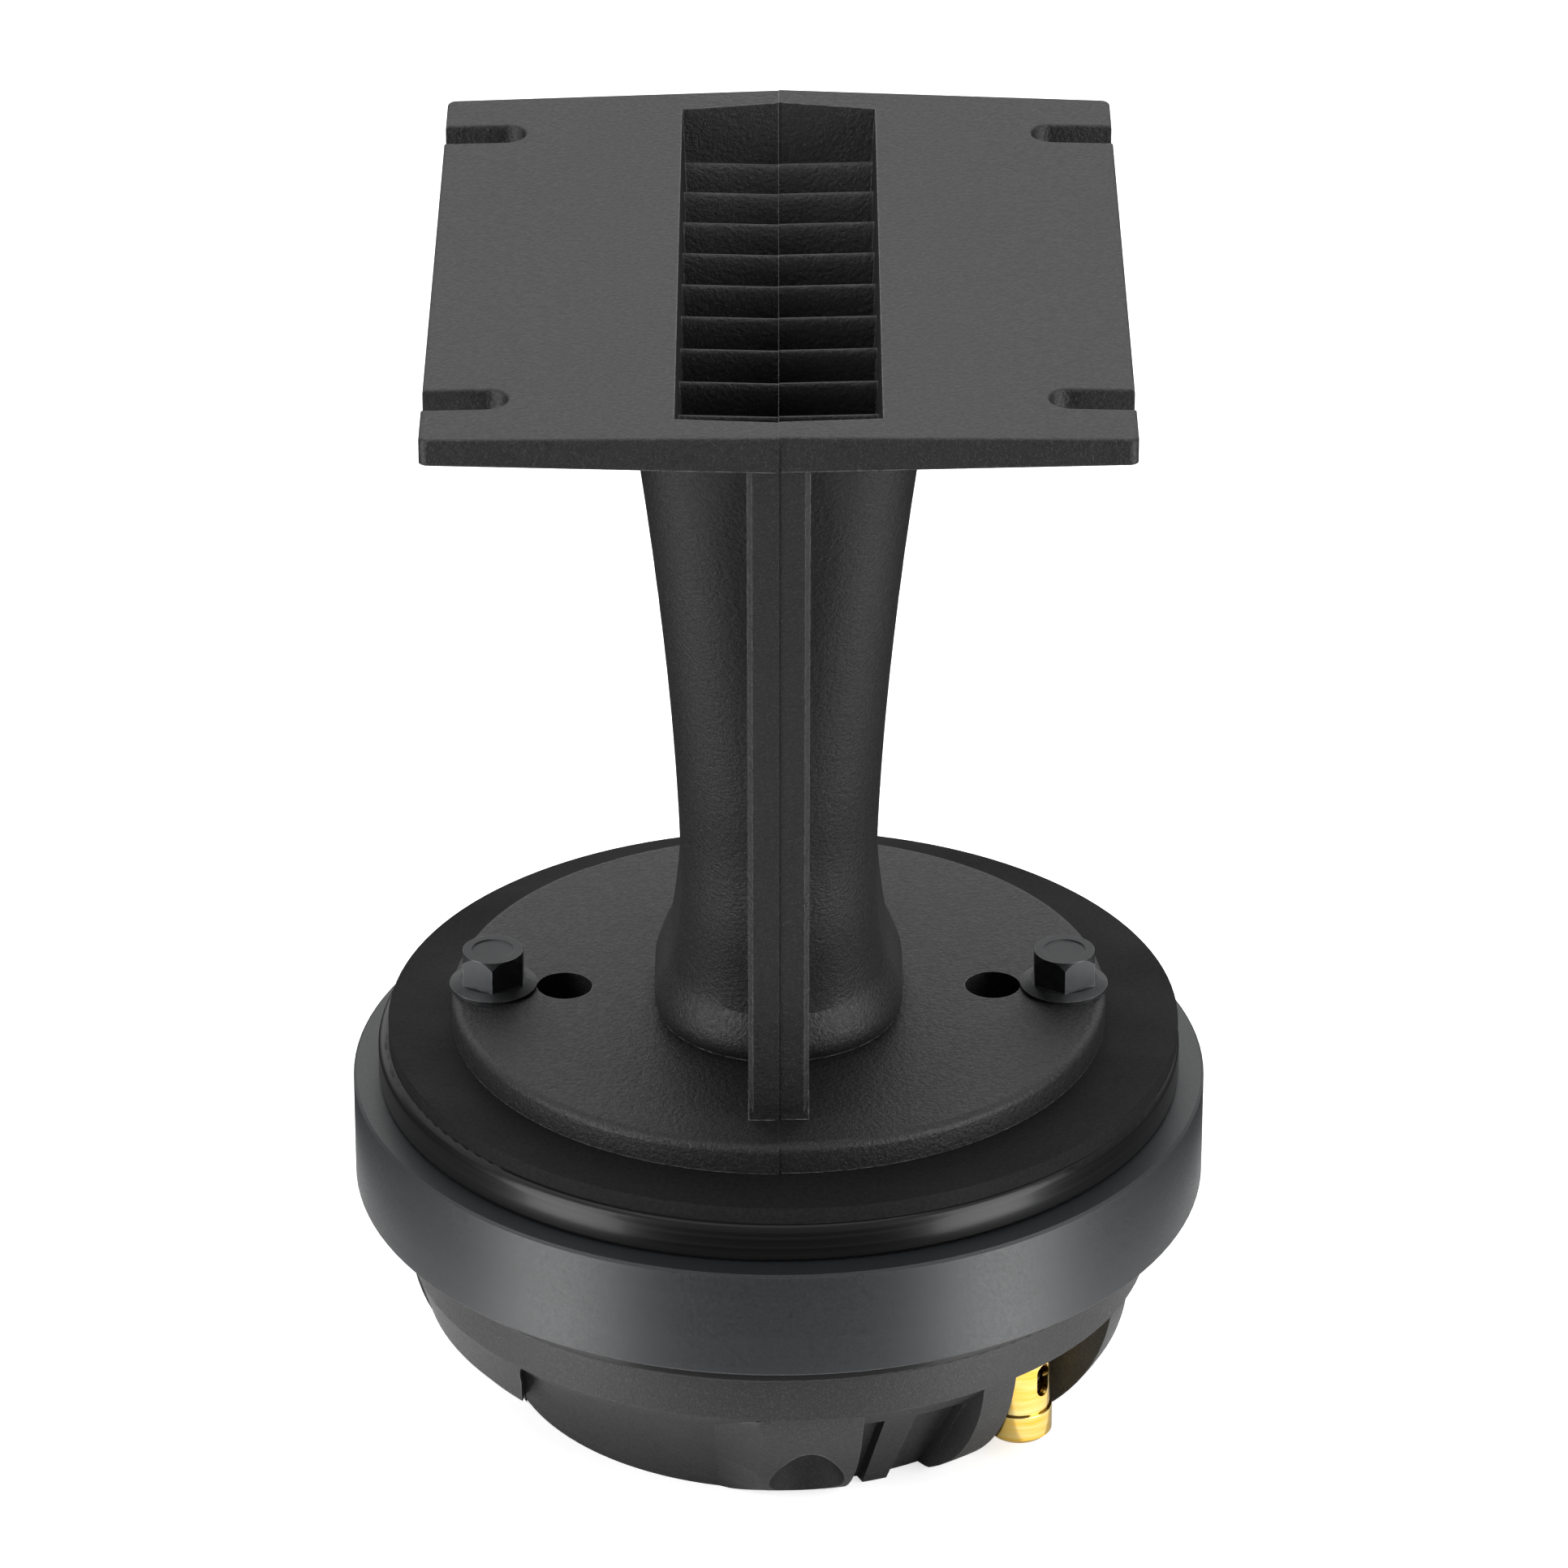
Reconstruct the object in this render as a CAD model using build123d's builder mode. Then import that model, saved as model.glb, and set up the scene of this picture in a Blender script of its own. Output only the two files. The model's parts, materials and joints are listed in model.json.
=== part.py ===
from build123d import *
from math import asin, atan2, cos, degrees, radians, sin, sqrt
import os

# A horn-loaded compression tweeter: a slot-mouthed horn in two moulded halves, bolted to a
# ring-magnet motor whose moulded rear cover carries two spring terminals.  Millimetres, +Z up,
# origin at the middle of the rear cover's flat end, horn mouth facing up.

# ---- stack heights, from the rear cover's flat end upwards --------------------------------
COVER_HEIGHT = 25.2
COVER_GASKET_T = 0.4
REAR_PLATE_T = 3.8
MAGNET_T = 15.0
FRONT_PLATE_T = 5.3
HORN_GASKET_T = 2.3
FLANGE_T = 4.1

REAR_PLATE_Z = COVER_HEIGHT + COVER_GASKET_T
MAGNET_Z = REAR_PLATE_Z + REAR_PLATE_T
FRONT_PLATE_Z = MAGNET_Z + MAGNET_T
HORN_GASKET_Z = FRONT_PLATE_Z + FRONT_PLATE_T
FLANGE_Z = HORN_GASKET_Z + HORN_GASKET_T
FLANGE_TOP = FLANGE_Z + FLANGE_T

# ---- motor ---------------------------------------------------------------------------------
MAGNET_R = 57.0
MAGNET_BORE_R = 29.0
FRONT_PLATE_R = 53.6
HORN_GASKET_R = 52.8
GASKET_OFFSET_X = 0.6
REAR_PLATE_R = 52.5
GAP_OUTER_R = 23.1
POLE_R = 21.6
THROAT_R = 12.7
PLUG_R = 16.0

# ---- horn ----------------------------------------------------------------------------------
FLANGE_R = 43.7
BOLT_X = 38.1
SPARE_HOLE_X = 28.575
SPARE_HOLE_R = 3.7
SEAM_GAP = 0.03
MOULD_MISMATCH = 0.22
MOUTH_RISE = 106.1
PLATE_HALF_X = 44.2
PLATE_HALF_Y = 54.2
PLATE_SEAM_Y = 55.7
PLATE_EDGE_T = 3.4
PLATE_SEAM_T = 4.7
RIDGE_RISE = 0.95
MOUTH_HALF_X = 12.85
MOUTH_HALF_Y = 49.5
MOUTH_DRAFT = 1.5
FAN_SLOPE = (MOUTH_HALF_Y + MOUTH_DRAFT - THROAT_R) / (MOUTH_RISE + FLANGE_T)
WALL_T = 4.6
PLATE_SLOT_Y = 42.3
PLATE_SLOT_W = 5.6
PLATE_SLOT_X = 33.5
FIN_COUNT = 10
FIN_PITCH = 10.1
FIN_TOP = 99.9
FIN_DEPTH = 26.0
RIB_HALF_W = 3.9
RIB_FOOT_Y = 36.7
RIB_HEAD_Y = 54.4
RIB_CHAMFER = 0.6
PLATE_CORNER_R = 1.2
PLATE_BREAK = 0.45

# ---- diaphragm -----------------------------------------------------------------------------
DOME_R = 22.2
DOME_SPHERE_R = 34.8
DOME_T = 0.25
DOME_CENTRE_Z = 51.4
PLUG_SPHERE_R = 33.9
FORMER_T = 0.2
FORMER_TOP = 32.0
WINDING_T = 0.4
WINDING_Z = (26.0, 29.0)
FILM_Z = 24.6
RING_OUTER_R = 36.0
RING_INNER_R = 26.2
RING_T = 2.5
RING_SCREW_R = 30.0
RING_SCREW_ANGLES = (65, 155, 245, 335)

# ---- rear cover ----------------------------------------------------------------------------
COVER_R = 50.0
COVER_FOOT_R = 37.24
CREASE_Z = 18.5
LEDGE_FOOT_Z = 15.5
CAVITY_R = 33.5
CAVITY_FLOOR = 3.0
RIM_CAVITY_R = 46.0
RIM_CAVITY_Z = 21.1
COVER_SCREW_R = 43.2
COVER_SCREW_ANGLES = (4.9, 94.9, 184.9, 274.9)
SCREW_WELL_R = 5.0
SCREW_WELL_TOP = 15.2

# ---- terminals, one per side, half a turn apart -------------------------------------------
TERMINAL_R = 41.3
TERMINAL_ANGLES = {"a": 51.0, "b": 231.0}
TAB_OFFSET = 31.0
BODY_R = 4.05
BODY_END_Z = 6.6
BUTTON_R = 4.4
BUTTON_Z = (2.7, 7.0)
BUTTON_TRAVEL = 2.8
WIRE_HOLE_Z = 11.8
STEM_R = 1.8


def around(radius, angle):
    """Point at a radius, with angles measured from the front (-Y) towards +X."""
    return (radius * sin(radians(angle)), -radius * cos(radians(angle)))


def sphere_z(sphere_r, radius):
    """Height of the rear-facing sphere that the dome and the phase plug share the centre of."""
    return DOME_CENTRE_Z - sqrt(sphere_r ** 2 - radius ** 2)


def save(piece, name):
    piece.part.label = name
    export_step(piece.part, f"parts/{name}.step")


os.makedirs("parts", exist_ok=True)

# =============================== horn =======================================================


def neck_half_width(rise):
    """Outer half width across X: a waist low down that opens towards the mouth."""
    waist = 12.87
    if rise < 26:
        return waist + 3.5 * ((26 - rise) / 26) ** 2.4
    return waist + 0.00349 * (rise - 26) ** 1.685


def neck_half_length(rise):
    """Outer half length across Y: a straight fan, with a little flare at the foot."""
    flare = 4.4 * max(0.0, (12 - rise) / 12) ** 2
    return THROAT_R + WALL_T + FAN_SLOPE * rise + flare


def passage_half_width(rise):
    """Inner half width across X between the round throat and the slot."""
    return 9.2 + 0.031 * max(0.0, rise - 18) + 3.5 * (max(0.0, 18 - rise) / 23.5) ** 2


def passage_half_length(rise):
    return THROAT_R + FAN_SLOPE * (rise + FLANGE_T)


LIP_STEPS = ((-0.5, -0.5), (0.6, 0.5), (1.9, 0.8), (3.4, 0.6), (5.2, 0.0), (7.4, -0.9), (10.5, -2.1))
NECK_RISES = (2.2, 6, 11, 18, 27, 38, 50, 64, 78, 91, 102.5)
PASSAGE_RISES = (-FLANGE_T, 2, 10, 20, 34, 50, 64, 76)
FIN_SECTIONS = ((0, 3.0, 25.4), (13.6, 4.2, 26.1))
FAN_APEX = THROAT_R / FAN_SLOPE + FLANGE_T


def gusset(side):
    """Rib in the seam plane from the flange up to the mouth plate."""
    rib_top = FLANGE_TOP + 102.5
    with BuildPart() as rib:
        with BuildSketch(Plane.YZ):
            Polygon(
                (side * 10, FLANGE_TOP - 1),
                (side * RIB_FOOT_Y, FLANGE_TOP - 1),
                (side * RIB_FOOT_Y, FLANGE_TOP + 1),
                (side * RIB_HEAD_Y, rib_top),
                (side * 40, rib_top),
                align=None,
            )
        extrude(amount=RIB_HALF_W, both=True)
        long_edges = [edge for edge in rib.edges() if edge.length > 90 and side * edge.center().Y > 40]
        chamfer(long_edges, RIB_CHAMFER)
    return rib.part


def mouth_plate():
    """Plate round the mouth, thicker at the seam, with open fixing slots and softened edges."""
    with BuildPart() as plate:
        for side in (-1, 1):
            with BuildSketch(Plane.YZ):
                with Locations((0, FLANGE_TOP + MOUTH_RISE - PLATE_SEAM_T / 2)):
                    Rectangle(2 * PLATE_SEAM_Y, PLATE_SEAM_T)
            with BuildSketch(Plane.YZ.offset(side * PLATE_HALF_X)):
                with Locations((0, FLANGE_TOP + MOUTH_RISE - RIDGE_RISE - PLATE_EDGE_T / 2)):
                    Rectangle(2 * PLATE_HALF_Y, PLATE_EDGE_T)
            loft()
        fillet(plate.edges().filter_by(Axis.Z).group_by(Axis.X)[0], PLATE_CORNER_R)
        fillet(plate.edges().filter_by(Axis.Z).group_by(Axis.X)[-1], PLATE_CORNER_R)
        with BuildSketch(Plane.XY.offset(FLANGE_TOP + MOUTH_RISE + 1)):
            with GridLocations(2 * (PLATE_SLOT_X + PLATE_SLOT_W / 2 + 10), 2 * PLATE_SLOT_Y, 2, 2):
                SlotCenterToCenter(20, PLATE_SLOT_W)
        extrude(amount=-8, mode=Mode.SUBTRACT)
        tops = plate.faces().filter_by(lambda face: face.normal_at().Z > 0.9)
        rims = tops.edges().filter_by(lambda edge: abs(edge.center().X) > 1)
        fillet(rims, PLATE_BREAK)
    return plate.part


with BuildPart() as horn:
    # mounting flange
    with BuildSketch(Plane.XY.offset(FLANGE_Z)):
        Circle(FLANGE_R)
    extrude(amount=FLANGE_T)
    fillet(horn.edges().group_by(Axis.Z)[-1], 1.1)
    # fan-shaped neck, rounded like a column low down and squarer towards the mouth
    for rise in NECK_RISES:
        width = neck_half_width(rise)
        corner = width - 0.1 if rise < 28 else width - 0.1 - 0.105 * (rise - 28)
        with BuildSketch(Plane.XY.offset(FLANGE_TOP + rise)):
            RectangleRounded(2 * width, 2 * neck_half_length(rise), corner)
    loft()
    # rounded lip that the neck stands on, tucked in where it meets the flange
    for rise, swell in LIP_STEPS:
        width = neck_half_width(2.2) + swell
        with BuildSketch(Plane.XY.offset(FLANGE_TOP + rise)):
            RectangleRounded(2 * width, 2 * (neck_half_length(2.2) + swell), width - 0.1)
    loft()
    # gusset ribs in the seam plane, front and back
    add(gusset(-1))
    add(gusset(1))
    add(mouth_plate())
    # bolt holes and the two spare holes
    with BuildSketch(Plane.XY.offset(FLANGE_Z)):
        with GridLocations(2 * BOLT_X, 0, 2, 1):
            Circle(2.75)
        with GridLocations(2 * SPARE_HOLE_X, 0, 2, 1):
            Circle(SPARE_HOLE_R)
    extrude(amount=FLANGE_T, mode=Mode.SUBTRACT)
    # sound passage: round throat to a long slot
    for rise in PASSAGE_RISES:
        width = passage_half_width(rise)
        corner = width - 0.05 if rise < 34 else 1.5 + (width - 1.55) * (76 - rise) / 42
        with BuildSketch(Plane.XY.offset(FLANGE_TOP + rise)):
            RectangleRounded(2 * width, 2 * passage_half_length(rise), corner)
    loft(mode=Mode.SUBTRACT)
    # slot mouth, longer at the seam because each half is drafted
    for rise in (PASSAGE_RISES[-1] - 0.1, MOUTH_RISE + 1.5):
        width = MOUTH_HALF_X + (rise - MOUTH_RISE) * 0.061
        length = passage_half_length(rise)
        short = length - MOUTH_DRAFT
        with BuildSketch(Plane.XY.offset(FLANGE_TOP + rise)):
            Polygon(
                (0, length), (width, short), (width, -short),
                (0, -length), (-width, -short), (-width, short),
                align=None,
            )
    loft(mode=Mode.SUBTRACT)
    # blades across the slot, all pointing back at the throat, thinner at the seam
    for index in range(FIN_COUNT):
        fin_y = (index - (FIN_COUNT - 1) / 2) * FIN_PITCH
        lean = atan2(fin_y, FIN_TOP + FAN_APEX)
        centre = (fin_y - FIN_DEPTH / 2 * sin(lean), FLANGE_TOP + FIN_TOP - FIN_DEPTH / 2 * cos(lean))
        for side in (-1, 1):
            for reach, thickness, depth in FIN_SECTIONS:
                with BuildSketch(Plane.YZ.offset(side * reach)):
                    with Locations(centre):
                        Ellipse(thickness / 2, depth / 2, rotation=-degrees(lean))
            loft()


def horn_half(side):
    """One moulding: the horn cut just short of the seam plane, the left one a hair out of line."""
    shift = 0 if side > 0 else -MOULD_MISMATCH
    with BuildPart() as half:
        add(horn.part.moved(Location((0, shift, 0))))
        split(bisect_by=Plane.YZ.offset(side * SEAM_GAP), keep=Keep.TOP if side > 0 else Keep.BOTTOM)
    return half


save(horn_half(-1), "horn_half_left")
save(horn_half(1), "horn_half_right")

# =============================== horn bolts and gasket ======================================

BOLT_AF = 8.0
BOLT_WASHER_R = 5.85
BOLT_HEAD_H = 5.4
BOLT_LENGTH = 11.2

with BuildPart() as horn_bolts:
    # thin washer flange that slopes up to the hexagon
    with BuildSketch(Plane.XY.offset(FLANGE_TOP)):
        with GridLocations(2 * BOLT_X, 0, 2, 1):
            Circle(BOLT_WASHER_R)
    extrude(amount=0.5)
    with BuildSketch(Plane.XY.offset(FLANGE_TOP + 0.5)):
        with GridLocations(2 * BOLT_X, 0, 2, 1):
            Circle(BOLT_WASHER_R)
    extrude(amount=0.6, taper=66)
    with BuildSketch(Plane.XY.offset(FLANGE_TOP + 0.4)):
        with GridLocations(2 * BOLT_X, 0, 2, 1):
            RegularPolygon(BOLT_AF / 2, 6, major_radius=False, rotation=30)
    extrude(amount=BOLT_HEAD_H - 0.4)
    # corners of the hexagon turned off in a cone, then the shallow dish on top
    with BuildSketch(Plane.XY.offset(FLANGE_TOP + BOLT_HEAD_H - 1.6)):
        with GridLocations(2 * BOLT_X, 0, 2, 1):
            Circle(BOLT_AF)
            Circle(BOLT_AF / 2 + 0.95, mode=Mode.SUBTRACT)
    extrude(amount=1.6, taper=-30, mode=Mode.SUBTRACT)
    with BuildSketch(Plane.XY.offset(FLANGE_TOP + BOLT_HEAD_H)):
        with GridLocations(2 * BOLT_X, 0, 2, 1):
            Circle(2.9)
    extrude(amount=-0.15, taper=60, mode=Mode.SUBTRACT)
    with BuildSketch(Plane.XY.offset(FLANGE_TOP)):
        with GridLocations(2 * BOLT_X, 0, 2, 1):
            Circle(2.4)
    extrude(amount=-BOLT_LENGTH)
save(horn_bolts, "horn_bolts")

with BuildPart() as horn_gasket:
    with BuildSketch(Plane.XY.offset(HORN_GASKET_Z)):
        with Locations((GASKET_OFFSET_X, 0)):
            Circle(HORN_GASKET_R)
        Circle(THROAT_R + 0.4, mode=Mode.SUBTRACT)
        with GridLocations(2 * BOLT_X, 0, 2, 1):
            Circle(2.75, mode=Mode.SUBTRACT)
        with GridLocations(2 * SPARE_HOLE_X, 0, 2, 1):
            Circle(3.3, mode=Mode.SUBTRACT)
    extrude(amount=HORN_GASKET_T)
save(horn_gasket, "horn_gasket")

# =============================== magnet motor ===============================================

with BuildPart() as front_plate:
    with BuildSketch(Plane.XY.offset(FRONT_PLATE_Z)):
        Circle(FRONT_PLATE_R)
    extrude(amount=FRONT_PLATE_T)
    fillet(front_plate.edges().group_by(Axis.Z)[-1], 1.3)
    fillet(front_plate.edges().group_by(Axis.Z)[0], 0.6)
    with BuildSketch(Plane.XY.offset(FRONT_PLATE_Z)):
        Circle(THROAT_R)
        with GridLocations(2 * BOLT_X, 0, 2, 1):
            Circle(2.45)
        with GridLocations(2 * SPARE_HOLE_X, 0, 2, 1):
            Circle(2.5)
    extrude(amount=FRONT_PLATE_T, mode=Mode.SUBTRACT)
save(front_plate, "front_plate")

POLE_SHOULDER_Z = 29.6
with BuildPart() as pole_piece:
    with BuildSketch(Plane.XZ):
        with BuildLine():
            rim = (POLE_R, sphere_z(PLUG_SPHERE_R, POLE_R))
            lip = (PLUG_R, sphere_z(PLUG_SPHERE_R, PLUG_R))
            middle = (POLE_R + PLUG_R) / 2
            Polyline(rim, (POLE_R, FRONT_PLATE_Z), (THROAT_R, FRONT_PLATE_Z))
            Polyline((THROAT_R, FRONT_PLATE_Z), (PLUG_R - 1, POLE_SHOULDER_Z))
            Polyline((PLUG_R - 1, POLE_SHOULDER_Z), (PLUG_R, POLE_SHOULDER_Z), lip)
            ThreePointArc(lip, (middle, sphere_z(PLUG_SPHERE_R, middle)), rim)
        make_face()
    revolve(axis=Axis.Z)
save(pole_piece, "pole_piece")

# each ring: inner radius, outer radius, then the radius and height of its front edge
PLUG_RINGS = ((0, 5.0, 0.8, 39.6), (5.7, 10.8, 8.8, 33.6), (11.5, PLUG_R - 0.05, 15.2, POLE_SHOULDER_Z))
PLUG_WAIST_Z = 26.6
with BuildPart() as phase_plug:
    for inner, outer, edge_r, edge_z in PLUG_RINGS:
        inner_waist = edge_z if inner == 0 else PLUG_WAIST_Z
        outer_waist = edge_z if edge_z == POLE_SHOULDER_Z else PLUG_WAIST_Z
        with BuildSketch(Plane.XZ):
            with BuildLine():
                start = (inner, sphere_z(PLUG_SPHERE_R, inner))
                end = (outer, sphere_z(PLUG_SPHERE_R, outer))
                halfway = (inner + outer) / 2
                ThreePointArc(start, (halfway, sphere_z(PLUG_SPHERE_R, halfway)), end)
                Polyline(end, (outer, outer_waist), (edge_r, edge_z), (inner, inner_waist), start)
            make_face()
        revolve(axis=Axis.Z)
    with BuildSketch(Plane.XY.offset(23.1)):
        with PolarLocations(8.4, 3):
            Rectangle(8.8, 1.4)
    extrude(amount=3.2)
save(phase_plug, "phase_plug")

with BuildPart() as magnet:
    with BuildSketch(Plane.XY.offset(MAGNET_Z)):
        Circle(MAGNET_R)
        Circle(MAGNET_BORE_R, mode=Mode.SUBTRACT)
    extrude(amount=MAGNET_T)
    chamfer(magnet.edges().filter_by(GeomType.CIRCLE), 0.35)
save(magnet, "magnet")

with BuildPart() as rear_plate:
    with BuildSketch(Plane.XY.offset(REAR_PLATE_Z)):
        Circle(REAR_PLATE_R)
    extrude(amount=REAR_PLATE_T)
    fillet(rear_plate.edges().filter_by(GeomType.CIRCLE), 0.5)
    with BuildSketch(Plane.XY.offset(REAR_PLATE_Z)):
        Circle(GAP_OUTER_R)
        for angle in COVER_SCREW_ANGLES:
            with Locations(around(COVER_SCREW_R, angle)):
                Circle(2.0)
        for angle in RING_SCREW_ANGLES:
            with Locations(around(RING_SCREW_R, angle)):
                Circle(1.5)
    extrude(amount=REAR_PLATE_T, mode=Mode.SUBTRACT)
save(rear_plate, "rear_plate")

# =============================== diaphragm ==================================================

with BuildPart() as diaphragm_dome:
    with BuildSketch(Plane.XZ):
        with BuildLine():
            outer_rim = (DOME_R, sphere_z(DOME_SPHERE_R, DOME_R))
            inner_rim = (DOME_R, sphere_z(DOME_SPHERE_R - DOME_T, DOME_R))
            outer_top = (0, sphere_z(DOME_SPHERE_R, 0))
            inner_top = (0, sphere_z(DOME_SPHERE_R - DOME_T, 0))
            ThreePointArc(outer_top, (DOME_R / 2, sphere_z(DOME_SPHERE_R, DOME_R / 2)), outer_rim)
            Line(outer_rim, inner_rim)
            mid_inner = (DOME_R / 2, sphere_z(DOME_SPHERE_R - DOME_T, DOME_R / 2))
            ThreePointArc(inner_rim, mid_inner, inner_top)
            Line(inner_top, outer_top)
        make_face()
    revolve(axis=Axis.Z)
save(diaphragm_dome, "diaphragm_dome")


def tube(inner, outer, bottom, top):
    """Plain ring between two radii and two heights."""
    with BuildPart() as ring:
        with BuildSketch(Plane.XY.offset(bottom)):
            Circle(outer)
            Circle(inner, mode=Mode.SUBTRACT)
        extrude(amount=top - bottom)
    return ring


save(tube(DOME_R, DOME_R + FORMER_T, FILM_Z, FORMER_TOP), "coil_former")
save(tube(DOME_R + FORMER_T, DOME_R + FORMER_T + WINDING_T, *WINDING_Z), "coil_winding")

ROLL_INNER = 22.9
ROLL_OUTER = 25.9
ROLL_RISE = 0.5
with BuildPart() as surround:
    with BuildSketch(Plane.XZ):
        with BuildLine():
            roll_mid = (ROLL_INNER + ROLL_OUTER) / 2
            film_t = 0.15
            Line((DOME_R + 0.4, FILM_Z), (ROLL_INNER, FILM_Z))
            ThreePointArc((ROLL_INNER, FILM_Z), (roll_mid, FILM_Z + ROLL_RISE), (ROLL_OUTER, FILM_Z))
            Polyline(
                (ROLL_OUTER, FILM_Z), (RING_OUTER_R - 1, FILM_Z),
                (RING_OUTER_R - 1, FILM_Z + film_t), (ROLL_OUTER, FILM_Z + film_t),
            )
            ThreePointArc(
                (ROLL_OUTER, FILM_Z + film_t),
                (roll_mid, FILM_Z + ROLL_RISE + film_t),
                (ROLL_INNER, FILM_Z + film_t),
            )
            Polyline(
                (ROLL_INNER, FILM_Z + film_t), (DOME_R + 0.4, FILM_Z + film_t), (DOME_R + 0.4, FILM_Z),
            )
        make_face()
    revolve(axis=Axis.Z)
    with BuildSketch(Plane.XY.offset(FILM_Z - 1)):
        for angle in RING_SCREW_ANGLES:
            with Locations(around(RING_SCREW_R, angle)):
                Circle(1.7)
    extrude(amount=3, mode=Mode.SUBTRACT)
save(surround, "surround")


def clamp_ring(bottom, top):
    """Ring that grips the surround's rim, with four screw holes."""
    with BuildPart() as ring:
        with BuildSketch(Plane.XY.offset(bottom)):
            Circle(RING_OUTER_R)
            Circle(RING_INNER_R, mode=Mode.SUBTRACT)
            for angle in RING_SCREW_ANGLES:
                with Locations(around(RING_SCREW_R, angle)):
                    Circle(1.6, mode=Mode.SUBTRACT)
        extrude(amount=top - bottom)
    return ring


save(clamp_ring(FILM_Z + 0.15, REAR_PLATE_Z), "spacer_ring")
save(clamp_ring(FILM_Z - RING_T, FILM_Z), "diaphragm_ring")

with BuildPart() as diaphragm_screws:
    for angle in RING_SCREW_ANGLES:
        with BuildSketch(Plane.XY.offset(FILM_Z - RING_T)):
            with Locations(around(RING_SCREW_R, angle)):
                Circle(2.75)
        extrude(amount=-1.8)
        with BuildSketch(Plane.XY.offset(FILM_Z - RING_T)):
            with Locations(around(RING_SCREW_R, angle)):
                Circle(1.45)
        extrude(amount=6.8)
        with BuildSketch(Plane.XY.offset(FILM_Z - RING_T - 1.8)):
            with Locations(around(RING_SCREW_R, angle)):
                Rectangle(3.2, 0.7)
                Rectangle(0.7, 3.2)
        extrude(amount=1.1, mode=Mode.SUBTRACT)
save(diaphragm_screws, "diaphragm_screws")

# =============================== rear cover =================================================

SHELL_ARC_CENTRE = (24.83, 22.21)
SHELL_ARC_R = 25.44
POCKET_TOP_R = 46.8
POCKET_SLOPE = 0.64
POCKET_LEVELS = (-1, 3.5, 8, 12, LEDGE_FOOT_Z)
LOBE_FLOOR = ((-1, 36.4), (6.1, 40.95), (8.1, 43.4), (10.1, 46.1), (12.1, 47.9), (CREASE_Z, 49.9))
LOBE_END_X = -34.0
RECESS_DEPTH = 1.7


def shell_radius(height):
    """Outer radius of the cover: a straight band above, one large arc below."""
    centre_r, centre_z = SHELL_ARC_CENTRE
    return min(COVER_R, centre_r + sqrt(SHELL_ARC_R ** 2 - (height - centre_z) ** 2))


def pocket_floor(height):
    """Radius of the cone that the floors of the flank pockets lie on."""
    return POCKET_TOP_R - POCKET_SLOPE * (LEDGE_FOOT_Z - height)


def pocket_cutter(sections):
    """Cutter for a pocket in the flank, open downwards.

    Each section is a height, the floor radius there, and the floor and surface angles of the
    start wall and then of the end wall.
    """
    with BuildPart() as cutter:
        for height, floor_r, start, end in sections:
            outer_r = max(shell_radius(max(height, 0)), floor_r + 1)
            floor_start = Vector(*around(floor_r, start[0]))
            floor_end = Vector(*around(floor_r, end[0]))
            wall_start = floor_start + (Vector(*around(outer_r, start[1])) - floor_start) * 3
            wall_end = floor_end + (Vector(*around(outer_r, end[1])) - floor_end) * 3
            middle = (start[0] + end[0]) / 2
            with BuildSketch(Plane.XY.offset(height)):
                with BuildLine():
                    ThreePointArc(floor_start, around(floor_r, middle), floor_end)
                    Line(floor_end, wall_end)
                    ThreePointArc(wall_end, around(outer_r + 16, middle), wall_start)
                    Line(wall_start, floor_start)
                make_face()
        loft(ruled=True)
    return cutter.part


def plain_pocket(start, end, deeper=0.0):
    """Sections of a pocket with nearly radial walls and a ledge up to the band."""
    walls = ((start + 0.5, start), (end - 0.5, end))
    sections = [(height, pocket_floor(height) - deeper, *walls) for height in POCKET_LEVELS]
    return sections + [(CREASE_Z, COVER_R - 0.1, (start + 0.05, start), (end - 0.05, end))]


def recess(start, end):
    """Sections of a deeper recess inside a plain pocket, with a flat top."""
    walls = ((start + 0.6, start), (end - 0.6, end))
    return [(height, pocket_floor(height) - RECESS_DEPTH, *walls) for height in (-1, LEDGE_FOOT_Z - 0.4)]


def upright_angle(radius):
    """Angle at which a radius meets the upright plane that the lobe ends on."""
    return degrees(asin(LOBE_END_X / radius))


def lobe_pocket():
    """Sections of the pocket whose upper part follows the shell and then tucks in."""
    return [(height, radius, (-79.5, -80), (-38, -37.5)) for height, radius in LOBE_FLOOR]


def long_pocket():
    """Sections of the long pocket beside the lobe; its far end runs out in a slanting wall."""
    sections = []
    for height in POCKET_LEVELS:
        radius = pocket_floor(height)
        rise = height / LEDGE_FOOT_Z
        start = (upright_angle(radius), upright_angle(max(shell_radius(max(height, 0)), radius + 1)))
        sections.append((height, radius, start, (-12.2 + 1.8 * rise, -4.9 + 2.8 * rise)))
    top = upright_angle(COVER_R)
    return sections + [(CREASE_Z, COVER_R - 0.1, (top + 0.05, top), (-2.3, -2.1))]


TERMINAL_POCKET = (37.8, 63.0)
TERMINAL_POCKET_R = 35.3

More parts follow.
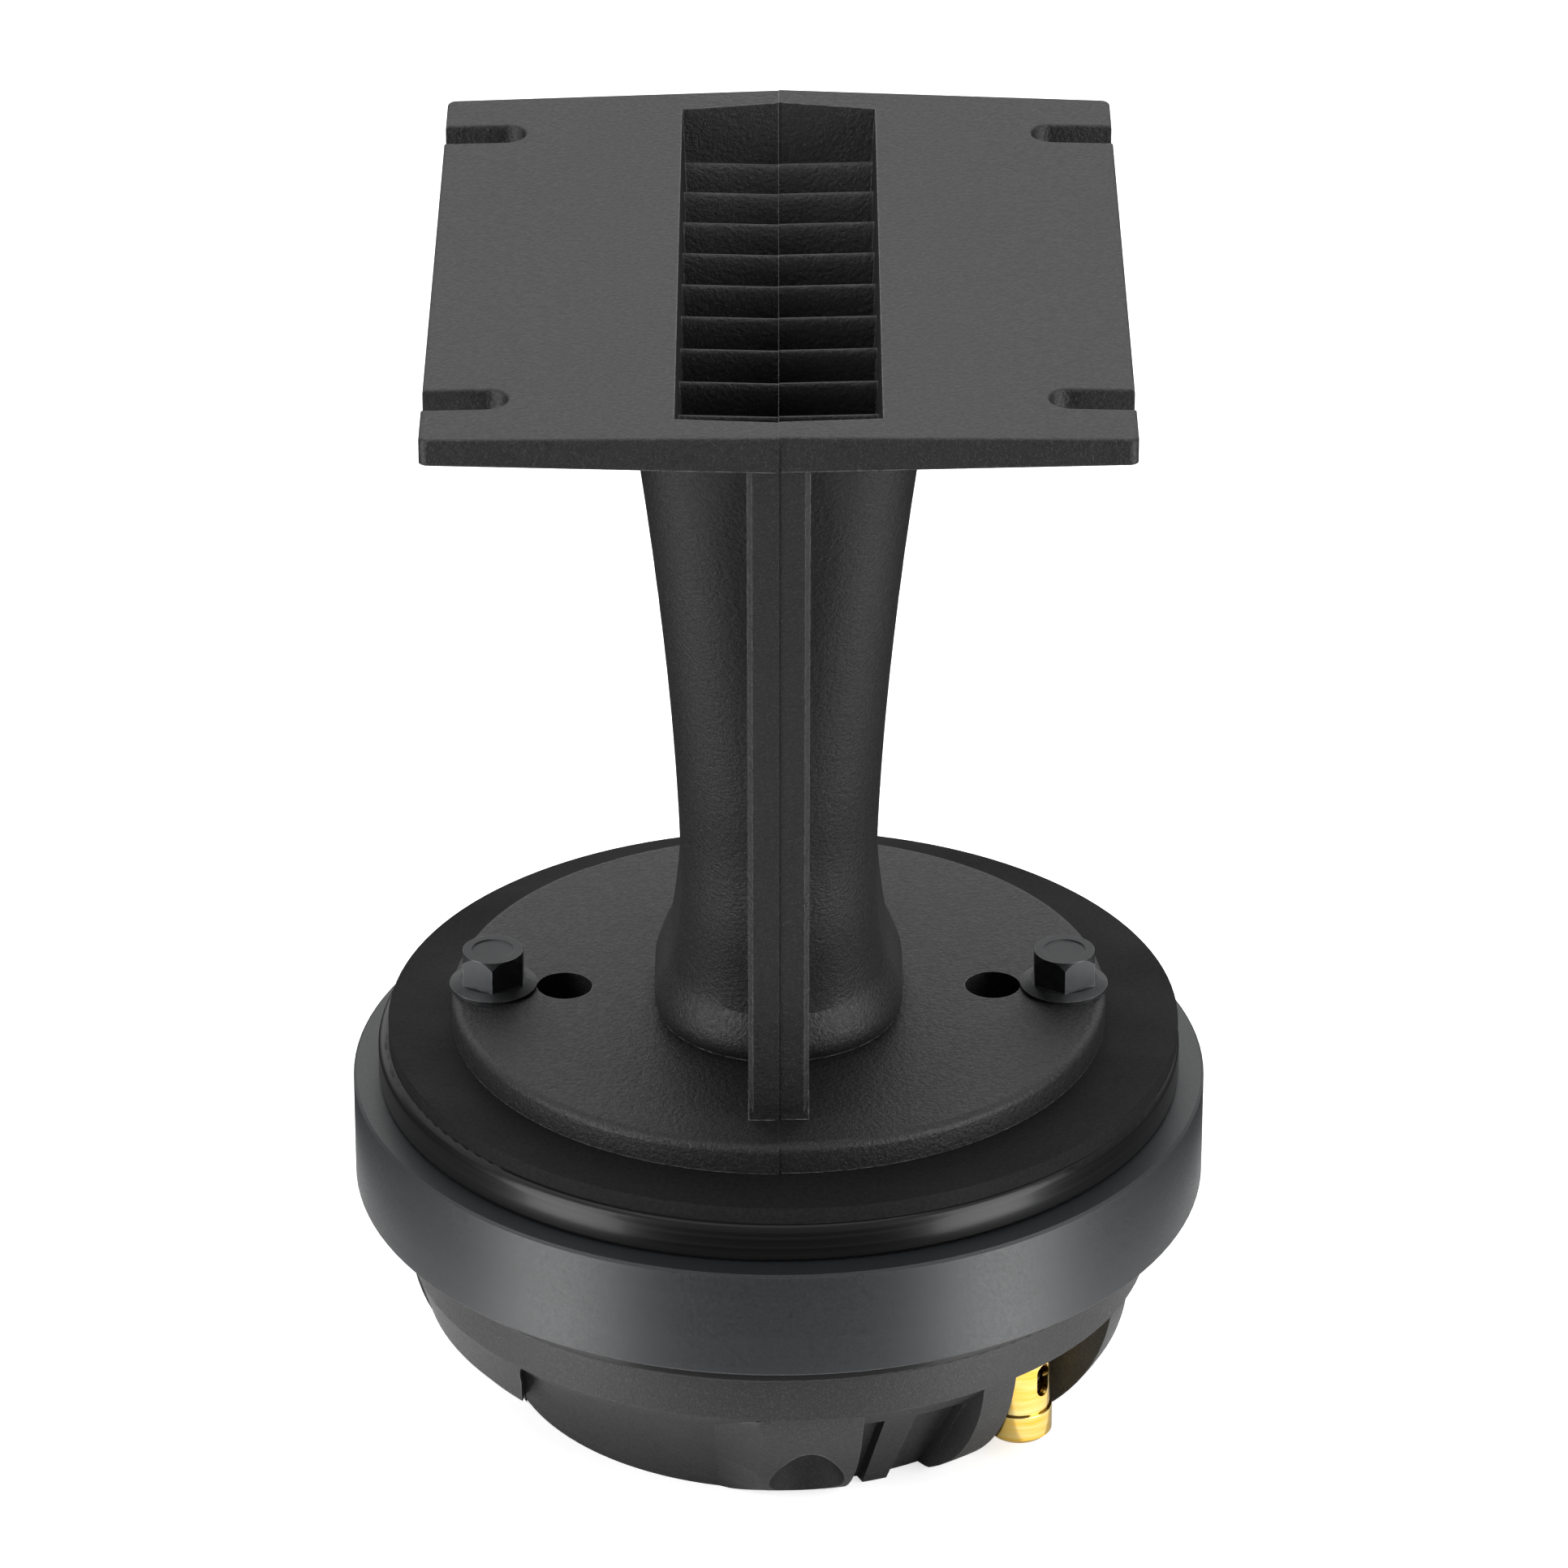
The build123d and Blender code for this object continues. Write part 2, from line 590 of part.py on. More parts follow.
with BuildPart() as rear_cover:
    arc_head = SHELL_ARC_CENTRE[1] - sqrt(SHELL_ARC_R ** 2 - (COVER_R - SHELL_ARC_CENTRE[0]) ** 2)
    arc_mid = 9.0
    with BuildSketch(Plane.XZ):
        with BuildLine():
            Line((0, 0), (COVER_FOOT_R, 0))
            ThreePointArc((COVER_FOOT_R, 0), (shell_radius(arc_mid), arc_mid), (COVER_R, arc_head))
            Polyline((COVER_R, arc_head), (COVER_R, COVER_HEIGHT), (0, COVER_HEIGHT), (0, 0))
        make_face()
    revolve(axis=Axis.Z)
    fillet(rear_cover.edges().group_by(Axis.Z)[-1], 0.5)
    # pockets in the flank, repeated half a turn round
    flank_pockets = (
        lobe_pocket(),
        long_pocket(),
        plain_pocket(12.9, 32.8),
        recess(13.4, 17.8),
        recess(22.6, 32.4),
        plain_pocket(68, 87),
    )
    for sections in flank_pockets:
        cutter = pocket_cutter(sections)
        add(cutter, mode=Mode.SUBTRACT)
        add(cutter.rotate(Axis.Z, 180), mode=Mode.SUBTRACT)
    # deep pockets that the terminals stand in
    for turn in (0, 180):
        start, end = (turn + angle for angle in TERMINAL_POCKET)
        middle = (start + end) / 2
        with BuildSketch(Plane.XY.offset(-1)):
            with BuildLine():
                ThreePointArc(
                    around(TERMINAL_POCKET_R, start + 3),
                    around(TERMINAL_POCKET_R, middle),
                    around(TERMINAL_POCKET_R, end - 3),
                )
                Line(around(TERMINAL_POCKET_R, end - 3), around(60, end))
                ThreePointArc(around(60, end), around(60, middle), around(60, start))
                Line(around(60, start), around(TERMINAL_POCKET_R, start + 3))
            make_face()
        extrude(amount=CREASE_Z + 1, mode=Mode.SUBTRACT)
    # hollow inside, with a boss left round each cover screw
    with BuildSketch(Plane.XY.offset(CAVITY_FLOOR)):
        Circle(CAVITY_R)
    extrude(amount=COVER_HEIGHT - CAVITY_FLOOR, mode=Mode.SUBTRACT)
    with BuildSketch(Plane.XY.offset(RIM_CAVITY_Z)):
        Circle(RIM_CAVITY_R)
        for angle in COVER_SCREW_ANGLES:
            with Locations(around(COVER_SCREW_R, angle)):
                Circle(5.2, mode=Mode.SUBTRACT)
    extrude(amount=COVER_HEIGHT - RIM_CAVITY_Z, mode=Mode.SUBTRACT)
    # wells and holes for the cover screws, which break out through the flank
    with BuildSketch(Plane.XY.offset(-1)):
        for angle in COVER_SCREW_ANGLES:
            with Locations(around(COVER_SCREW_R, angle)):
                Circle(SCREW_WELL_R)
    extrude(amount=SCREW_WELL_TOP + 1, mode=Mode.SUBTRACT)
    with BuildSketch(Plane.XY.offset(SCREW_WELL_TOP - 1)):
        for angle in COVER_SCREW_ANGLES:
            with Locations(around(COVER_SCREW_R, angle)):
                Circle(2.15)
        for angle in TERMINAL_ANGLES.values():
            with Locations(around(TERMINAL_R, angle)):
                Circle(2.1)
    extrude(amount=COVER_HEIGHT, mode=Mode.SUBTRACT)
    # shallow round recess under the cover, as for a label
    with BuildSketch():
        Circle(22)
    extrude(amount=0.5, mode=Mode.SUBTRACT)
save(rear_cover, "rear_cover")

with BuildPart() as cover_gasket:
    with BuildSketch(Plane.XY.offset(COVER_HEIGHT)):
        Circle(COVER_R - 0.6)
        Circle(RIM_CAVITY_R, mode=Mode.SUBTRACT)
        for angle in COVER_SCREW_ANGLES:
            with Locations(around(COVER_SCREW_R, angle)):
                Circle(5.2, mode=Mode.SUBTRACT)
    extrude(amount=COVER_GASKET_T)
save(cover_gasket, "cover_gasket")

with BuildPart() as damping_pad:
    with BuildSketch(Plane.XY.offset(CAVITY_FLOOR)):
        Circle(CAVITY_R - 1.2)
    extrude(amount=5)
    fillet(damping_pad.edges().group_by(Axis.Z)[-1], 1.2)
save(damping_pad, "damping_pad")

with BuildPart() as cover_screws:
    for angle in COVER_SCREW_ANGLES:
        centre = around(COVER_SCREW_R, angle)
        with BuildSketch(Plane.XY.offset(SCREW_WELL_TOP)):
            with Locations(centre):
                Circle(3.8)
        extrude(amount=-2.6)
        with BuildSketch(Plane.XY.offset(SCREW_WELL_TOP)):
            with Locations(centre):
                Circle(1.95)
        extrude(amount=REAR_PLATE_Z + REAR_PLATE_T - 0.4 - SCREW_WELL_TOP)
        with BuildSketch(Plane.XY.offset(SCREW_WELL_TOP - 2.6)):
            with Locations(centre):
                Rectangle(4.4, 0.9)
                Rectangle(0.9, 4.4)
        extrude(amount=1.5, mode=Mode.SUBTRACT)
    fillet(cover_screws.edges().filter_by(GeomType.CIRCLE).group_by(Axis.Z)[0], 0.9)
save(cover_screws, "cover_screws")

# =============================== terminals and wiring =======================================

BUSH_T = 0.8
BODY_TOP = CREASE_Z - BUSH_T
STUD_TOP = 24.8
CHAMBER_R = 3.2
CHAMBER_TOP = 15.5
LUG_T = 0.5
NUT_T = 2.4
WIRE_R = 0.7
TAB_T = 0.5
TAB_R = (30.6, 38.6)
RING_REAR_Z = FILM_Z - RING_T
WIRE_Z = RING_REAR_Z + WIRE_R


def terminal_plane(angle, height=0.0):
    """Plane on a terminal's axis: local +X points outwards, away from the motor's axis."""
    x, y = around(TERMINAL_R, angle)
    return Plane(origin=(x, y, height), x_dir=(x, y, 0), z_dir=(0, 0, 1))


for letter, angle in TERMINAL_ANGLES.items():
    with BuildPart() as terminal_bush:
        with BuildSketch(terminal_plane(angle, BODY_TOP)):
            Circle(4.9)
            Circle(2.05, mode=Mode.SUBTRACT)
        extrude(amount=BUSH_T)
    save(terminal_bush, f"terminal_bush_{letter}")

    with BuildPart() as terminal_body:
        with BuildSketch(terminal_plane(angle, BODY_END_Z)):
            Circle(BODY_R)
        extrude(amount=BODY_TOP - BODY_END_Z)
        fillet(terminal_body.edges().group_by(Axis.Z)[-1], 0.4)
        with BuildSketch(terminal_plane(angle, BODY_TOP)):
            Circle(2.0)
        extrude(amount=STUD_TOP - BODY_TOP)
        with BuildSketch(terminal_plane(angle, BODY_END_Z)):
            Circle(CHAMBER_R)
        extrude(amount=CHAMBER_TOP - BODY_END_Z, mode=Mode.SUBTRACT)
        # upright oblong window for the bare wire, through both walls
        base = terminal_plane(angle, WIRE_HOLE_Z)
        window = Plane(origin=base.origin, x_dir=(0, 0, 1), z_dir=base.x_dir)
        with BuildSketch(window):
            SlotCenterToCenter(2.4, 2.4)
        extrude(amount=10, both=True, mode=Mode.SUBTRACT)
    save(terminal_body, f"terminal_body_{letter}")

    with BuildPart() as terminal_button:
        with BuildSketch(terminal_plane(angle, BUTTON_Z[0])):
            Circle(BUTTON_R)
        extrude(amount=BUTTON_Z[1] - BUTTON_Z[0])
        chamfer(terminal_button.edges().group_by(Axis.Z)[0], 0.7)
        fillet(terminal_button.edges().group_by(Axis.Z)[-1], 0.12)
        floor_z = BODY_END_Z - BUTTON_TRAVEL - 0.2
        with BuildSketch(terminal_plane(angle, floor_z)):
            Circle(BODY_R + 0.08)
        extrude(amount=BUTTON_Z[1], mode=Mode.SUBTRACT)
        with BuildSketch(terminal_plane(angle, floor_z - 0.2)):
            Circle(STEM_R)
        extrude(amount=WIRE_HOLE_Z - BUTTON_TRAVEL + 3 - floor_z)
        hole_base = terminal_plane(angle, WIRE_HOLE_Z - BUTTON_TRAVEL)
        hole = Plane(origin=hole_base.origin, x_dir=(0, 0, 1), z_dir=hole_base.x_dir)
        with BuildSketch(hole):
            Circle(1.1)
        extrude(amount=3, both=True, mode=Mode.SUBTRACT)
    save(terminal_button, f"terminal_button_{letter}")

    spring_foot = floor_z + 0.3
    with BuildPart() as terminal_spring:
        with BuildLine() as coil:
            base = terminal_plane(angle, spring_foot)
            Helix(
                pitch=(CHAMBER_TOP - 0.3 - spring_foot) / 6,
                height=CHAMBER_TOP - 0.3 - spring_foot,
                radius=2.6,
                center=base.origin,
            )
        with BuildSketch(Plane(origin=coil.line @ 0, z_dir=coil.line % 0)):
            Circle(0.25)
        sweep(is_frenet=True)
    save(terminal_spring, f"terminal_spring_{letter}")

    with BuildPart() as terminal_lug:
        with BuildSketch(terminal_plane(angle, RIM_CAVITY_Z)):
            Circle(3.7)
            with Locations((0, -3.8)):
                Rectangle(2.6, 7.6)
            Circle(2.05, mode=Mode.SUBTRACT)
        extrude(amount=LUG_T)
        with BuildSketch(terminal_plane(angle, RIM_CAVITY_Z + LUG_T)):
            with Locations((0, -6.5)):
                Rectangle(2.2, 2.0)
        extrude(amount=WIRE_Z - WIRE_R - RIM_CAVITY_Z - LUG_T)
    save(terminal_lug, f"terminal_lug_{letter}")

    with BuildPart() as solder_tab:
        with BuildSketch(Plane.XY.offset(RING_REAR_Z - TAB_T).rotated((0, 0, angle - TAB_OFFSET))):
            with Locations((0, -(TAB_R[0] + TAB_R[1]) / 2)):
                Rectangle(3.4, TAB_R[1] - TAB_R[0])
        extrude(amount=TAB_T)
    save(solder_tab, f"solder_tab_{letter}")

    with BuildPart() as lead_ribbon:
        with BuildSketch(Plane.YZ.rotated((0, 0, angle - TAB_OFFSET))):
            strip = 0.12
            inner_y = -(DOME_R + 0.5)
            drop_y = -(RING_INNER_R - 0.35)
            tab_z = RING_REAR_Z - TAB_T
            Polygon(
                (inner_y, FILM_Z - 0.1), (drop_y, FILM_Z - 0.1),
                (drop_y, tab_z), (-(TAB_R[0] + 1.5), tab_z),
                (-(TAB_R[0] + 1.5), tab_z - strip), (drop_y + strip, tab_z - strip),
                (drop_y + strip, FILM_Z - 0.1 - strip), (inner_y, FILM_Z - 0.1 - strip),
                align=None,
            )
        extrude(amount=0.9, both=True)
    save(lead_ribbon, f"lead_ribbon_{letter}")

    with BuildPart() as hookup_wire:
        wire_r = TAB_R[1] - 0.9
        tip = terminal_plane(angle).from_local_coords(Vector(0, -6.5, WIRE_Z))
        start = Vector(*around(wire_r, angle - TAB_OFFSET + 1.0), WIRE_Z)
        bend = Vector(*around((wire_r + tip.length) / 2, angle - TAB_OFFSET / 2 - 4), WIRE_Z)
        with BuildLine() as run:
            ThreePointArc(start, bend, tip)
        with BuildSketch(Plane(origin=run.line @ 0, z_dir=run.line % 0)):
            Circle(WIRE_R)
        sweep()
    save(hookup_wire, f"hookup_wire_{letter}")

with BuildPart() as terminal_nuts:
    for angle in TERMINAL_ANGLES.values():
        with BuildSketch(terminal_plane(angle, RIM_CAVITY_Z + LUG_T)):
            RegularPolygon(3.5, 6, major_radius=False)
            Circle(2.05, mode=Mode.SUBTRACT)
        extrude(amount=NUT_T)
save(terminal_nuts, "terminal_nuts")
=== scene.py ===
import json
import math

import bmesh
import bpy
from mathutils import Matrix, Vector


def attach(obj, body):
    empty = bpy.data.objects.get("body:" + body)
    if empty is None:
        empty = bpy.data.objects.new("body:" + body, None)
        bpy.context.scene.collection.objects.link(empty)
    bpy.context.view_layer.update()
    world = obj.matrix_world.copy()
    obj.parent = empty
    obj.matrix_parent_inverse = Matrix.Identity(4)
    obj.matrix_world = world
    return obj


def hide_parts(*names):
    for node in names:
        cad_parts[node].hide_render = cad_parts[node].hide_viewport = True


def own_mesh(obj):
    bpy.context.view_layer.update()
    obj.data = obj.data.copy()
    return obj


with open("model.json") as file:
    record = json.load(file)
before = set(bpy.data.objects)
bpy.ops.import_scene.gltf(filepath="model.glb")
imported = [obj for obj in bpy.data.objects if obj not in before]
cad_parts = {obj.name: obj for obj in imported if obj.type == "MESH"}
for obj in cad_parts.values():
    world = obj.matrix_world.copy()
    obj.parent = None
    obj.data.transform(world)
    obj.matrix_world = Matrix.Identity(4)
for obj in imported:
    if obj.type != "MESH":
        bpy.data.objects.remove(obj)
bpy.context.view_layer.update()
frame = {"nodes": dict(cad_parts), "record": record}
nodes = frame["nodes"]
scene = bpy.context.scene
MM = 0.001

# What the looks take from the CAD, in metres.
NECK_FOOT_Z = 66.1 * MM


# ------------------------------------------------------------------ shader helpers

EDGE_SAMPLES = 6
EDGE_MASK_RADIUS = 0.3 * MM


class Shader:
    """A Principled material and short calls for the nodes that feed it."""

    def __init__(self, name, **values):
        self.material = bpy.data.materials.new(name)
        self.material.use_nodes = True
        self.tree = self.material.node_tree
        self.bsdf = self.tree.nodes["Principled BSDF"]
        for key, value in values.items():
            self.bsdf.inputs[key.replace("_", " ")].default_value = value
        self.coords = self.tree.nodes.new("ShaderNodeTexCoord").outputs["Object"]
        self.normal = None

    def node(self, kind, inputs=None, **settings):
        node = self.tree.nodes.new("ShaderNode" + kind)
        for key, value in settings.items():
            setattr(node, key, value)
        for key, value in (inputs or {}).items():
            self.put(node.inputs[key], value)
        return node

    def put(self, socket, value):
        if isinstance(value, bpy.types.NodeSocket):
            self.tree.links.new(value, socket)
        else:
            socket.default_value = value

    def stretched(self, scale):
        return self.node("Mapping", {"Vector": self.coords, "Scale": scale}).outputs[0]

    def noise(self, scale, detail=2.0, roughness=0.5, distortion=0.0, vector=None):
        return self.node("TexNoise", {
            "Vector": vector or self.coords, "Scale": scale, "Detail": detail,
            "Roughness": roughness, "Distortion": distortion}).outputs["Fac"]

    def ramp(self, value, low, high, out_low=0.0, out_high=1.0):
        return self.node("MapRange", {
            "Value": value, "From Min": low, "From Max": high,
            "To Min": out_low, "To Max": out_high}).outputs["Result"]

    def math(self, operation, a, b=0.0):
        node = self.node("Math", operation=operation)
        self.put(node.inputs[0], a)
        self.put(node.inputs[1], b)
        return node.outputs[0]

    def mix(self, fac, a, b):
        node = self.node("Mix", data_type="RGBA")
        self.put(node.inputs[0], fac)
        for index, colour in ((6, a), (7, b)):
            self.put(node.inputs[index], colour)
        return node.outputs[2]

    def bump(self, height, distance, strength=1.0):
        """Adds a relief of that height in metres; later calls stack on earlier ones."""
        inputs = {"Height": height, "Distance": distance, "Strength": strength}
        if self.normal is not None:
            inputs["Normal"] = self.normal
        self.normal = self.node("Bump", inputs).outputs["Normal"]
        self.put(self.bsdf.inputs["Normal"], self.normal)

    def edges(self, radius, low=0.03, high=0.35):
        """1 along sharp edges and 0 on flat ground."""
        bevel = self.node("Bevel", {"Radius": radius}, samples=EDGE_SAMPLES)
        normal = self.node("NewGeometry").outputs["Normal"]
        dot = self.node("VectorMath", operation="DOT_PRODUCT")
        self.put(dot.inputs[0], bevel.outputs[0])
        self.put(dot.inputs[1], normal)
        away = self.math("SUBTRACT", 1.0, dot.outputs["Value"])
        return self.ramp(away, low, high)

    def colour(self, value):
        self.put(self.bsdf.inputs["Base Color"], value)

    def rough(self, value):
        self.put(self.bsdf.inputs["Roughness"], value)


def grey(value, tint=0.0):
    return (value * (1 - tint), value, value * (1 + tint), 1.0)


# ------------------------------------------------------------------ materials

SEAM_CLEAR = (0.3 * MM, 0.5 * MM)
RIB_CLEAR = (6.6 * MM, 7.6 * MM)
FOOT_REACH = (4.0 * MM, 8.0 * MM)
FOOT_ROUNDING = 3.5 * MM
LEAST_ROUNDING = 0.05 * MM


def moulded(name, base, light, grain, relief, rough=(0.46, 0.6), spec=0.5, wear_and_highlight=0.7, foot=None):
    """Black moulded plastic: spark-eroded grain, slow colour drift, and paler edges off the seam, partly
    edge wear and partly a painted highlight.

    foot is the height about which the neck's shading is rounded off, clear of the ribs.
    """
    s = Shader(name, Specular_IOR_Level=spec)
    coarse = s.noise(grain, detail=3.0, roughness=0.62)
    fine = s.noise(grain * 2.3, detail=2.0, roughness=0.6)
    slow = s.noise(38.0, detail=3.0, roughness=0.55)
    drift = s.mix(s.ramp(slow, 0.3, 0.7), grey(base), grey(light))
    speckled = s.mix(s.ramp(fine, 0.52, 0.68, 0.0, 0.6), drift, grey(light * 4.5))
    scuff = s.ramp(s.noise(1100.0, 3.0), 0.38, 0.62, 0.25, 1.0)
    place = s.node("SeparateXYZ", {"Vector": s.coords})
    across = s.math("ABSOLUTE", place.outputs["X"])
    off_seam = s.ramp(across, *SEAM_CLEAR)
    if foot is not None:
        distance = s.math("ABSOLUTE", s.math("SUBTRACT", place.outputs["Z"], foot))
        near = s.math("MULTIPLY", s.ramp(distance, *FOOT_REACH, 1.0, 0.0), s.ramp(across, *RIB_CLEAR))
        radius = s.ramp(near, 0.0, 1.0, LEAST_ROUNDING, FOOT_ROUNDING)
        s.normal = s.node("Bevel", {"Radius": radius}, samples=8).outputs[0]
    # Paler edges: partly edge wear, partly a painted highlight standing in for the bright thin lines
    # along the rib's edges.
    edge = s.math("MULTIPLY", s.edges(EDGE_MASK_RADIUS, 0.02, 0.25), s.math("MULTIPLY", scuff, wear_and_highlight))
    s.colour(s.mix(s.math("MULTIPLY", edge, off_seam), speckled, grey(0.3)))
    s.rough(s.ramp(coarse, 0.3, 0.7, rough[0], rough[1]))
    s.bump(slow, 0.00012, 0.15)
    s.bump(coarse, relief)
    s.bump(fine, relief * 0.35)
    return s.material


def gasket():
    s = Shader("gasket_black", Specular_IOR_Level=0.14)
    fibre = s.noise(1900.0, 4.0, 0.7)
    slow = s.noise(60.0, 3.0)
    s.colour(s.mix(s.ramp(fibre, 0.35, 0.7), grey(0.005), grey(0.012)))
    s.rough(s.ramp(slow, 0.3, 0.7, 0.62, 0.76))
    s.bump(slow, 0.0001, 0.5)
    s.bump(fibre, 0.00002)
    return s.material


def gloss_steel():
    """Glossy black paint over turned steel, with faint turning lines and orange peel."""
    s = Shader("gloss_black_steel", Specular_IOR_Level=0.24, Coat_Weight=0.08, Coat_Roughness=0.12)
    turned = s.noise(6.0, 4.0, 0.6, vector=s.stretched((1, 1, 260)))
    peel = s.noise(420.0, 2.0)
    s.colour(s.mix(s.ramp(turned, 0.4, 0.7), grey(0.006), grey(0.011)))
    s.rough(s.ramp(turned, 0.3, 0.7, 0.27, 0.33))
    s.bump(turned, 0.000006, 0.5)
    s.bump(peel, 0.00001, 0.6)
    return s.material


def ferrite():
    """Ground ferrite under a thin grey lacquer, with faint grinding bands and pits."""
    s = Shader("ferrite", Specular_IOR_Level=0.6)
    band = s.noise(9.0, 4.0, 0.6, vector=s.stretched((1, 1, 60)))
    cloud = s.noise(45.0, 3.0)
    grain = s.noise(2300.0, 3.0, 0.6)
    pits = s.ramp(s.noise(900.0, 2.0), 0.24, 0.28)
    base = s.mix(s.ramp(band, 0.35, 0.65), grey(0.013, 0.12), grey(0.017, 0.12))
    base = s.mix(s.ramp(cloud, 0.3, 0.7, 0.0, 0.3), base, grey(0.022, 0.10))
    base = s.mix(pits, grey(0.008, 0.05), base)
    edge = s.edges(0.5 * MM)
    s.colour(s.mix(s.math("MULTIPLY", edge, 0.3), base, grey(0.09, 0.05)))
    s.rough(s.ramp(grain, 0.3, 0.7, 0.37, 0.48))
    s.bump(band, 0.00001, 0.4)
    s.bump(grain, 0.000006)
    s.bump(pits, 0.00001, 0.3)
    return s.material


def metal(name, dark, bright, rough, brush=(400.0, (1, 1, 1)), edge_bright=None, metallic=1.0):
    """Metal with brush lines at that scale and stretch, smudges, and scuffed edges if asked."""
    s = Shader(name, Metallic=metallic)
    lines = s.noise(brush[0], 4.0, 0.65, vector=s.stretched(brush[1]))
    smudge = s.noise(120.0, 3.0)
    base = s.mix(s.ramp(lines, 0.3, 0.7), dark, bright)
    if edge_bright:
        scuff = s.ramp(s.noise(1600.0, 3.0, 0.6), 0.4, 0.6, 0.3, 1.0)
        base = s.mix(s.math("MULTIPLY", s.edges(EDGE_MASK_RADIUS), scuff), base, edge_bright)
    s.colour(base)
    brushed = s.ramp(lines, 0.3, 0.7, rough[0], rough[1])
    s.rough(s.math("ADD", brushed, s.ramp(smudge, 0.3, 0.7, 0.0, 0.05)))
    s.bump(lines, 0.000006, 0.5)
    return s.material


def film(name, dark, bright, rough=0.25):
    s = Shader(name, Specular_IOR_Level=0.5)
    ripple = s.noise(300.0, 3.0)
    s.colour(s.mix(s.ramp(ripple, 0.3, 0.7), dark, bright))
    s.rough(s.ramp(ripple, 0.3, 0.7, rough, rough + 0.15))
    s.bump(ripple, 0.00004, 0.5)
    return s.material


def felt():
    s = Shader("felt", Specular_IOR_Level=0.1, Roughness=0.95, Sheen_Weight=0.4)
    fibre = s.noise(900.0, 6.0, 0.75, 0.8)
    clump = s.noise(160.0, 3.0)
    s.colour(s.mix(s.ramp(fibre, 0.35, 0.65), grey(0.09), s.mix(clump, grey(0.2), grey(0.32))))
    s.bump(clump, 0.0004, 0.6)
    s.bump(fibre, 0.0002)
    return s.material


def winding():
    s = Shader("copper_wire", Metallic=1.0)
    wave = s.node("TexWave", {"Vector": s.coords, "Scale": 1600.0, "Distortion": 0.4, "Detail": 1.0},
                  bands_direction="Z")
    turns = wave.outputs["Fac"]
    s.colour(s.mix(turns, (0.20, 0.055, 0.02, 1), (0.75, 0.30, 0.14, 1)))
    s.rough(s.ramp(turns, 0.0, 1.0, 0.45, 0.25))
    s.bump(turns, 0.00008)
    return s.material


GOLD_DARK = (0.98, 0.60, 0.07, 1)
GOLD_BRIGHT = (1.0, 0.80, 0.34, 1)
materials = {
    "horn_plastic": moulded("horn_plastic", 0.0055, 0.0075, 1700.0, 0.00016, foot=NECK_FOOT_Z),
    "cover_plastic": moulded("cover_plastic", 0.008, 0.0105, 1900.0, 0.00006,
                             rough=(0.44, 0.56), wear_and_highlight=0.2),
    "ring_plastic": moulded("ring_plastic", 0.05, 0.06, 2000.0, 0.00002),
    "phase_plug_plastic": moulded("phase_plug_plastic", 0.02, 0.025, 2400.0, 0.00001,
                                  rough=(0.3, 0.45), wear_and_highlight=0.1),
    "bush_nylon": moulded("bush_nylon", 0.02, 0.026, 2200.0, 0.00001, rough=(0.35, 0.5)),
    "gasket_black": gasket(),
    "gloss_black_steel": gloss_steel(),
    "ferrite": ferrite(),
    "black_zinc": metal("black_zinc", grey(0.028, 0.04), grey(0.05, 0.04), (0.34, 0.5),
                        (700.0, (1, 1, 1)), grey(0.26, 0.02), metallic=0.7),
    "pole_steel": metal("pole_steel", grey(0.30), grey(0.42), (0.28, 0.42), (60.0, (1, 1, 30))),
    "titanium": metal("titanium", (0.30, 0.29, 0.30, 1), (0.45, 0.43, 0.44, 1), (0.25, 0.4)),
    "screw_steel": metal("screw_steel", grey(0.32, 0.02), grey(0.48, 0.02), (0.25, 0.4),
                         (900.0, (1, 1, 1)), grey(0.7)),
    "spring_steel": metal("spring_steel", grey(0.35), grey(0.5), (0.2, 0.35)),
    "tinned_brass": metal("tinned_brass", (0.42, 0.40, 0.33, 1), (0.6, 0.58, 0.5, 1), (0.25, 0.4)),
    "gold_plate": metal("gold_plate", GOLD_DARK, GOLD_BRIGHT, (0.10, 0.17), (90.0, (1, 1, 12))),
    "former_film": film("former_film", (0.30, 0.11, 0.015, 1), (0.48, 0.2, 0.04, 1)),
    "surround_film": film("surround_film", (0.28, 0.12, 0.03, 1), (0.44, 0.22, 0.06, 1)),
    "wire_insulation": film("wire_insulation", (0.28, 0.012, 0.012, 1), (0.4, 0.02, 0.02, 1), rough=0.35),
    "copper_wire": winding(),
    "felt": felt(),
}

for part in frame["record"]["subparts"]:
    mesh = nodes[part["node"]].data
    mesh.materials.clear()
    mesh.materials.append(materials[part["material_slot"]])


# ------------------------------------------------------------------ glue in the horn's seam

SEAM_FACE_TOLERANCE = 0.002 * MM
OPEN_SEAM_AREA = 120 * MM * MM
GLUE_INSET = 0.18 * MM
GLUE_HALF_T = 0.028 * MM


